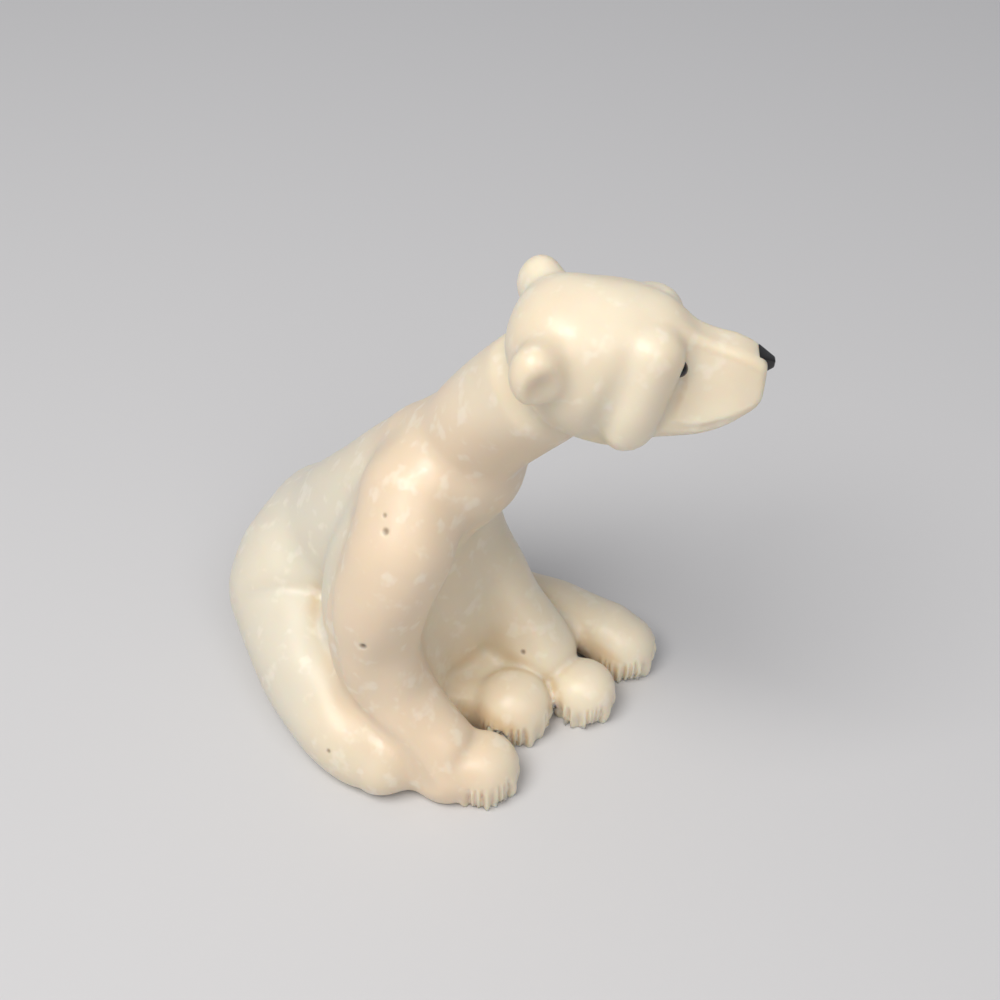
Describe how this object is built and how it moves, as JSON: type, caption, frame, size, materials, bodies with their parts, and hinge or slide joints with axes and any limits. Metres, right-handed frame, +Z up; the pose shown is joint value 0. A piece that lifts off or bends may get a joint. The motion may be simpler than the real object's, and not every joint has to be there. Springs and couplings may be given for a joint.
{
  "type": "stone bear carving",
  "caption": "Sitting bear carved from a block of pale stone, head turned to its left, with a black nose and eyes let in.",
  "frame": {"origin": "on the flat underside, under the middle of the carving's box", "axes": "+Z up; the trunk faces -Y, the bear's right side is at -X, and the head is turned towards +X"},
  "size_m": [0.054, 0.0804, 0.0855],
  "materials": {
    "cream_stone": "satin polish, waxy, faintly translucent",
    "black_stone": "gloss polish"
  },
  "bodies": {
    "root": {"bear": "cream_stone", "nose": "black_stone", "right_eye": "black_stone", "left_eye": "black_stone"}
  },
  "joints": []
}
